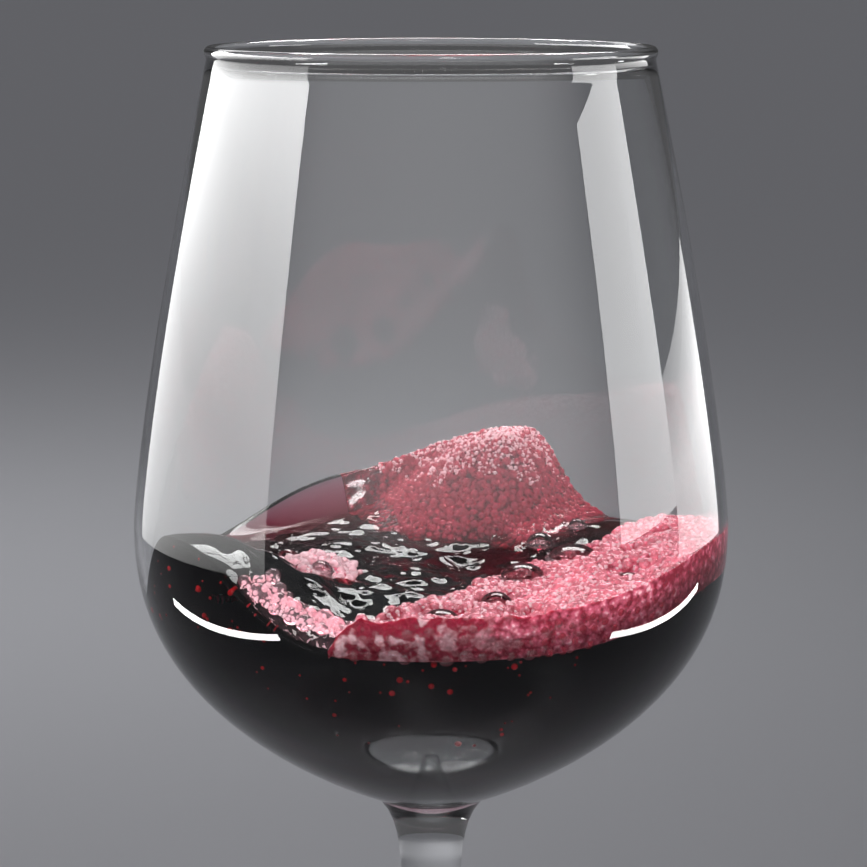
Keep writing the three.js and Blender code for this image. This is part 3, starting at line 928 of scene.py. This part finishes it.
# %% Froth colour
PATCH_SCALE = 170
PATCH_SHIFT = 1.3
FOAM_SHADE = (0.62, 0.42, 0.45)
FOAM_SCALE = 420
FOAM_FROM, FOAM_TO = 0.5, 0.62
DARKER_FROM, DARKER_TO = 14 * MM, -4 * MM
PALE_AT, MIDDLE_AT, DEEP_AT = 0.05, 0.45, 0.95


def froth_colour(nodes, links, place, seams, shades, darker_left):
    deep, middle, pale = shades
    sideways = nodes.new("ShaderNodeSeparateXYZ")
    links.new(place.outputs["Object"], sideways.inputs["Vector"])
    left = rise_between(nodes, links, sideways.outputs["X"], DARKER_FROM, DARKER_TO, darker_left)
    patches = noise_over(nodes, links, place, PATCH_SCALE, 3.0)
    shifted = calculate(nodes, links, "MULTIPLY_ADD", patches, PATCH_SHIFT, seams)
    centred = calculate(nodes, links, "SUBTRACT", shifted, PATCH_SHIFT / 2)
    # Painted shade and highlight: the ramp runs from pale pink in the middle of each cell to deep red at its
    # seam.
    colour = nodes.new("ShaderNodeValToRGB")
    stops = colour.color_ramp.elements
    stops[0].position, stops[0].color = PALE_AT, (*pale, 1)
    stops[1].position, stops[1].color = DEEP_AT, (*deep, 1)
    stops.new(MIDDLE_AT).color = (*middle, 1)
    links.new(calculate(nodes, links, "ADD", centred, left), colour.inputs["Fac"])
    foam = noise_over(nodes, links, place, FOAM_SCALE, 2.0)
    foam_share = rise_between(nodes, links, foam, FOAM_FROM, FOAM_TO, 1.0)
    whiten = nodes.new("ShaderNodeMix")
    whiten.data_type = "RGBA"
    whiten.inputs["B"].default_value = (*FOAM_SHADE, 1)
    links.new(calculate(nodes, links, "MULTIPLY", foam_share, left), whiten.inputs["Factor"])
    links.new(colour.outputs["Color"], whiten.inputs["A"])
    return whiten.outputs["Result"]


# %% [markdown]
# ## Finish of the froth
# The same cells that paint shade into the seams and a highlight onto the domes stand out as bump. A coat
# gives the wet shine over them, and a little light passes under the surface, red more than the rest.

# %% Froth finish
FINER_CELLS = 2.3
FINER_SHARE = 0.45
DOME_HEIGHT = 0.5 * MM
WET_FROTH = {
    "Roughness": 0.12, "IOR": 1.4, "Coat Weight": 0.6, "Coat Roughness": 0.03,
    "Subsurface Weight": 0.3, "Subsurface Radius": (0.0015, 0.0003, 0.0004), "Subsurface Scale": 1.0,
}
RAFT_SHADES = ((0.2, 0.008, 0.025), (0.5, 0.1, 0.16), (0.88, 0.55, 0.6))
CAP_SHADES = ((0.05, 0.001, 0.004), (0.2, 0.012, 0.028), (0.6, 0.2, 0.25))
CLUSTER_SHADES = ((0.12, 0.004, 0.014), (0.5, 0.08, 0.14), (0.9, 0.5, 0.56))


def froth_finish(name, cell_scale, shades, darker_left=0.0):
    material, nodes, links, output = start_material(name)
    place = nodes.new("ShaderNodeTexCoord")
    large_cells = cells_over(nodes, links, place, cell_scale)
    finer_cells = cells_over(nodes, links, place, cell_scale * FINER_CELLS)
    seams = calculate(nodes, links, "MULTIPLY_ADD", finer_cells, FINER_SHARE, large_cells)
    shader = nodes.new("ShaderNodeBsdfPrincipled")
    links.new(froth_colour(nodes, links, place, seams, shades, darker_left), shader.inputs["Base Color"])
    bump = nodes.new("ShaderNodeBump")
    bump.invert = True
    bump.inputs["Strength"].default_value = 1.0
    bump.inputs["Distance"].default_value = DOME_HEIGHT
    links.new(seams, bump.inputs["Height"])
    links.new(bump.outputs["Normal"], shader.inputs["Normal"])
    for socket, value in WET_FROTH.items():
        shader.inputs[socket].default_value = value
    links.new(shader.outputs["BSDF"], output.inputs["Surface"])
    print(name, "has cells of about", round(1000 / cell_scale, 2), "mm")
    return material


raft.data.materials.append(froth_finish("pink_froth", 800, RAFT_SHADES, darker_left=0.8))
cap.data.materials.append(froth_finish("cap_froth", 900, CAP_SHADES))
cluster.data.materials.append(froth_finish("cluster_froth", 800, CLUSTER_SHADES))

# %% [markdown]
# ## Bubble skins
# A bubble is a thin skin of wine round air. Seen from outside, the wet skin and the ring of wine at its
# foot work like a small lens, and the froth behind lends it a pink body. So the small bubbles are part
# clear, part pink. Lamps shine through them, or the froth below would turn dark.

# %% Bubble finish
BUBBLE_IOR = 1.33
SPARK_IOR = 1.2
SKIN_IOR = 1.6


def bubble_finish(name, tint, clearness, ior=BUBBLE_IOR):
    material, nodes, links, output = start_material(name)
    shader = clear_shader(nodes, ior, tint, 1.0)
    shader.inputs["Transmission Weight"].default_value = clearness
    lets_lamps_through(nodes, links, output, shader, [0.5 + 0.5 * part for part in tint])
    return material


def skin_finish(name, tint):
    """A skin so thin that it doesn't bend light: clear when faced, a mirror at the rim."""
    material, nodes, links, output = start_material(name)
    clear = nodes.new("ShaderNodeBsdfTransparent")
    clear.inputs["Color"].default_value = (*tint, 1)
    mirror = nodes.new("ShaderNodeBsdfGlossy")
    mirror.inputs["Roughness"].default_value = 0.02
    edge = nodes.new("ShaderNodeFresnel")
    edge.inputs["IOR"].default_value = SKIN_IOR
    mix = nodes.new("ShaderNodeMixShader")
    links.new(edge.outputs["Fac"], mix.inputs[0])
    links.new(clear.outputs["BSDF"], mix.inputs[1])
    links.new(mirror.outputs["BSDF"], mix.inputs[2])
    links.new(mix.outputs["Shader"], output.inputs["Surface"])
    return material


pink_bubble = bubble_finish("pink_bubble", (0.84, 0.33, 0.41), 0.75)
red_bubble = bubble_finish("red_bubble", (0.5, 0.05, 0.09), 0.6)
pale_bubble = bubble_finish("pale_bubble", (0.97, 0.78, 0.82), 0.7)
clear_bubble = bubble_finish("clear_bubble", (0.97, 0.75, 0.8), 0.95)
white_bubble = bubble_finish("white_bubble", (0.96, 0.74, 0.78), 0.6)
spark = bubble_finish("sunk_bubble", (0.4, 0.02, 0.03), 0.3, ior=SPARK_IOR)
BUBBLE_FINISHES = [
    (raft_mid, pink_bubble), (raft_fine, pale_bubble), (band, red_bubble), (cap_mid, red_bubble),
    (cap_fine, red_bubble), (crest_top, white_bubble), (cluster_mid, pale_bubble), (rings, clear_bubble),
    (lip_large, clear_bubble), (lip_fine, white_bubble), (lip_band, clear_bubble), (sunk, spark),
]
for piece, finish in BUBBLE_FINISHES:
    piece.data.materials.append(finish)
domes.data.materials.append(skin_finish("large_bubble_skin", (0.97, 0.93, 0.94)))
print("finishes so far:", len(bpy.data.materials))

# %% [markdown]
# ## Floor
# A pale floor runs far back behind the glass. A pool of light falls on it half a metre behind the glass,
# and it darkens from there. A big round plate is enough, since its far edge lies beyond the view.

# %% Floor
FLOOR_RADIUS = 14.0
FLOOR_SHADE = (0.58, 0.585, 0.62)
bpy.ops.mesh.primitive_circle_add(vertices=128, radius=FLOOR_RADIUS, fill_type="NGON")
floor = bpy.context.object
floor.name = "floor"
floor_material, nodes, links, output = start_material("pale_floor")
floor_shader = nodes.new("ShaderNodeBsdfPrincipled")
floor_shader.inputs["Base Color"].default_value = (*FLOOR_SHADE, 1)
floor_shader.inputs["Roughness"].default_value = 0.9
floor_shader.inputs["Specular IOR Level"].default_value = 0.0
links.new(floor_shader.outputs["BSDF"], output.inputs["Surface"])
floor.data.materials.append(floor_material)
print("the floor reaches", FLOOR_RADIUS, "m")

# %% [markdown]
# ## Room
# The room is dark behind, and on the camera's side a pale wall glows at eye level. So the bowl mirrors
# the wall, and the wine mirrors a dark room with a few lamps in it. That contrast is what makes a liquid
# look wet. The wall is a fade in the world's own colour, along two directions.

# %% Room
def grey_stops(shade, greys):
    """Sets a colour ramp from (position, grey) pairs."""
    stops = shade.color_ramp.elements
    while len(stops) < len(greys):
        stops.new(0.5)
    for stop, (position, grey) in zip(stops, greys):
        stop.position = position
        stop.color = (grey, grey, grey, 1)


world = bpy.data.worlds.new("grey_room")
world.use_nodes = True
scene.world = world
nodes, links = world.node_tree.nodes, world.node_tree.links
backdrop = nodes["Background"]
direction = nodes.new("ShaderNodeTexCoord")
split = nodes.new("ShaderNodeSeparateXYZ")


def room_fade(source, places):
    """A fade of grey along one direction of the room, from (direction, grey) pairs."""
    shade = nodes.new("ShaderNodeValToRGB")
    grey_stops(shade, [(0.5 + 0.5 * place, grey) for place, grey in places])
    halved = calculate(nodes, links, "MULTIPLY_ADD", split.outputs[source], 0.5, 0.5)
    links.new(halved, shade.inputs["Fac"])
    return shade.outputs["Color"]


ROOM_BASE = 0.075
ROOM_TINT = (0.97, 0.97, 1.0)
WALL_GLOW = 1.9
toward_camera = room_fade("Y", [(-1.0, 1.0), (-0.6, 0.8), (-0.1, 0.0), (1.0, 0.0)])
at_eye_level = room_fade("Z", [(-0.05, 0.0), (0.08, 1.0), (0.37, 1.0), (0.5, 0.05)])
wall = calculate(nodes, links, "MULTIPLY", toward_camera, at_eye_level)
links.new(direction.outputs["Generated"], split.inputs["Vector"])
links.new(calculate(nodes, links, "MULTIPLY_ADD", wall, WALL_GLOW, ROOM_BASE), backdrop.inputs["Strength"])
backdrop.inputs["Color"].default_value = (*ROOM_TINT, 1)
print("room:", ROOM_BASE, "behind,", ROOM_BASE + WALL_GLOW, "on the camera's side")

# %% [markdown]
# ## Softboxes
# The long white bands on the bowl are softboxes, mirrored by a round wall. A lamp would do, but a box is
# brighter in one part than in another, and a glowing panel can have such a fade. Its corners are given
# as directions from the bowl. The panels are only there to be mirrored, so they stay out of the camera's
# own sight, and the floor doesn't see them either.

# %% Glowing panels
PANEL_DISTANCE = 0.64
PANEL_STEPS = 12


def glowing_panel(name, azimuths, heights, fade):
    """A panel round the bowl. The fade lists (share of the height, brightness)."""
    turn = np.radians(np.linspace(*azimuths, PANEL_STEPS + 1))
    points = [(math.cos(a) * PANEL_DISTANCE, math.sin(a) * PANEL_DISTANCE, z) for z in heights for a in turn]
    faces = [(i, i + 1, i + PANEL_STEPS + 2, i + PANEL_STEPS + 1) for i in range(PANEL_STEPS)]
    mesh = bpy.data.meshes.new(name)
    mesh.from_pydata(points, [], faces)
    panel = bpy.data.objects.new(name, mesh)
    bpy.context.collection.objects.link(panel)
    material, nodes, links, output = start_material(name)
    place = nodes.new("ShaderNodeTexCoord")
    split = nodes.new("ShaderNodeSeparateXYZ")
    shade = nodes.new("ShaderNodeValToRGB")
    glow = nodes.new("ShaderNodeEmission")
    brightest = max(value for _, value in fade)
    grey_stops(shade, [(share, value / brightest) for share, value in fade])
    glow.inputs["Strength"].default_value = brightest
    links.new(place.outputs["Generated"], split.inputs["Vector"])
    links.new(split.outputs["Z"], shade.inputs["Fac"])
    links.new(shade.outputs["Color"], glow.inputs["Color"])
    links.new(glow.outputs["Emission"], output.inputs["Surface"])
    mesh.materials.append(material)
    panel.visible_camera = False
    panel.visible_diffuse = False
    panel.visible_transmission = False
    print(name, "glows up to", brightest)


glowing_panel("left_panel", (128, 208), (0.03, 0.5), [(0.0, 1.6), (0.35, 4.4), (0.6, 9.5), (0.8, 16.0)])
glowing_panel("right_panel", (-17, 14), (0.12, 0.38), [(0.0, 5.2), (0.5, 7.4), (1.0, 8.4)])
glowing_panel("right_low_panel", (14, 50), (0.04, 0.2), [(0.0, 2.4), (0.6, 5.0), (1.0, 2.4)])


# %% [markdown]
# ## Strips
# Two bright strips lie just over the floor at either side: they draw the two white arcs low on the bowl.
# An area lamp shines along its own minus Z, so we build its axes from the line and the way to the bowl.

# %% Strip lamps
STRIP_WIDTH = 14 * MM
STRIP_HEIGHT = 6 * MM
BOWL_MIDDLE = Vector((0, 0, 0.19))


def strip(name, one_end, other_end, watts):
    """A flat lamp along a line on the floor, tilted up to the bowl."""
    start, stop = Vector((*one_end, STRIP_HEIGHT)), Vector((*other_end, STRIP_HEIGHT))
    data = bpy.data.lights.new(name, "AREA")
    data.shape = "RECTANGLE"
    data.size, data.size_y = (stop - start).length, STRIP_WIDTH
    data.energy = watts
    lamp = bpy.data.objects.new(name, data)
    along = (stop - start).normalized()
    middle = (start + stop) / 2
    facing = BOWL_MIDDLE - middle
    facing = (facing - along * facing.dot(along)).normalized()
    up = (-facing).cross(along)
    lamp.matrix_world = matrix_from(along, up, -facing, middle)
    lamp.visible_camera = False
    lamp.visible_diffuse = False
    lamp.visible_transmission = False
    bpy.context.collection.objects.link(lamp)
    print(name, "is", round(data.size * 1000), "mm long")


def matrix_from(x_axis, y_axis, z_axis, place):
    return Matrix([
        (x_axis.x, y_axis.x, z_axis.x, place.x),
        (x_axis.y, y_axis.y, z_axis.y, place.y),
        (x_axis.z, y_axis.z, z_axis.z, place.z),
        (0, 0, 0, 1),
    ])


strip("left_strip", (-0.361, 0.17), (-0.229, -0.137), 0.34)
strip("right_strip", (0.404, 0.246), (0.256, -0.081), 0.3)

# %% [markdown]
# ## Spots, pool and overhead box
# The froth needs light from above and behind, which narrow spots give without washing out the floor. A
# weak disk lights the pool on the floor. The overhead box is there for the bright edges on the ripples
# and the bubbles, so it is kept off everything matt.

# %% Spots, pool and overhead box
WINE_MIDDLE = Vector((0, 0, 0.15))
SPOT_CONE = math.radians(12)


def aimed(data, place):
    """A lamp that shines on the wine and stays out of the camera's sight."""
    lamp = bpy.data.objects.new(data.name, data)
    lamp.location = place
    lamp.rotation_euler = (WINE_MIDDLE - lamp.location).to_track_quat("-Z", "Y").to_euler()
    lamp.visible_camera = False
    bpy.context.collection.objects.link(lamp)
    print(lamp.name, "gives", round(data.energy, 2), "W")
    return lamp


def spot(name, place, radius, watts):
    data = bpy.data.lights.new(name, "SPOT")
    data.shadow_soft_size = radius
    data.spot_size = SPOT_CONE
    data.spot_blend = 0.5
    data.energy = watts
    return aimed(data, place)


spot("back_left_spot", (-0.22, 0.42, 0.75), radius=0.05, watts=9.0)
spot("back_right_spot", (0.3, 0.3, 0.8), radius=0.05, watts=6.0)
spot("front_spot", (0.1, -0.5, 0.85), radius=0.06, watts=5.0)

pool_data = bpy.data.lights.new("floor_pool", "AREA")
pool_data.shape = "DISK"
pool_data.size = 0.4
pool_data.energy = 1.0
pool = aimed(pool_data, (-0.2, 0.57, 0.5))
pool.rotation_euler = (0, 0, 0)
pool.visible_transmission = False

overhead_data = bpy.data.lights.new("overhead_box", "AREA")
overhead_data.shape = "RECTANGLE"
overhead_data.size, overhead_data.size_y = 0.7, 0.35
overhead_data.energy = 9.0
overhead = aimed(overhead_data, (0.1, 0.75, 0.95))
overhead.visible_diffuse = False

# %% [markdown]
# ## Pieces and the solids they stand for
# Each piece says which solid it stands for, which finish of the record it wears, and that it moves with the
# one body.

STANDS_FOR = [
    (glass, "glass", "clear_glass"),
    (wine, "wine", "red_wine"),
    (raft, "froth_raft", "pink_froth"),
    (raft_fine, None, "pink_froth"),
    (raft_mid, None, "pink_froth"),
    (cap, "froth_cap", "pink_froth"),
    (cap_fine, None, "pink_froth"),
    (cap_mid, None, "pink_froth"),
    (cluster, "bubble_cluster", "wine_bubbles"),
    (cluster_mid, None, "wine_bubbles"),
    (band, None, "pink_froth"),
    (crest_top, None, "pink_froth"),
    (lip_large, None, "wine_bubbles"),
    (lip_fine, None, "wine_bubbles"),
    (lip_band, None, "wine_bubbles"),
    (sunk, None, "wine_bubbles"),
    (domes, None, "wine_bubbles"),
    (rings, None, "wine_bubbles"),
]
for piece, node, finish in STANDS_FOR:
    if node:
        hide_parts(node)
    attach(piece, "root")
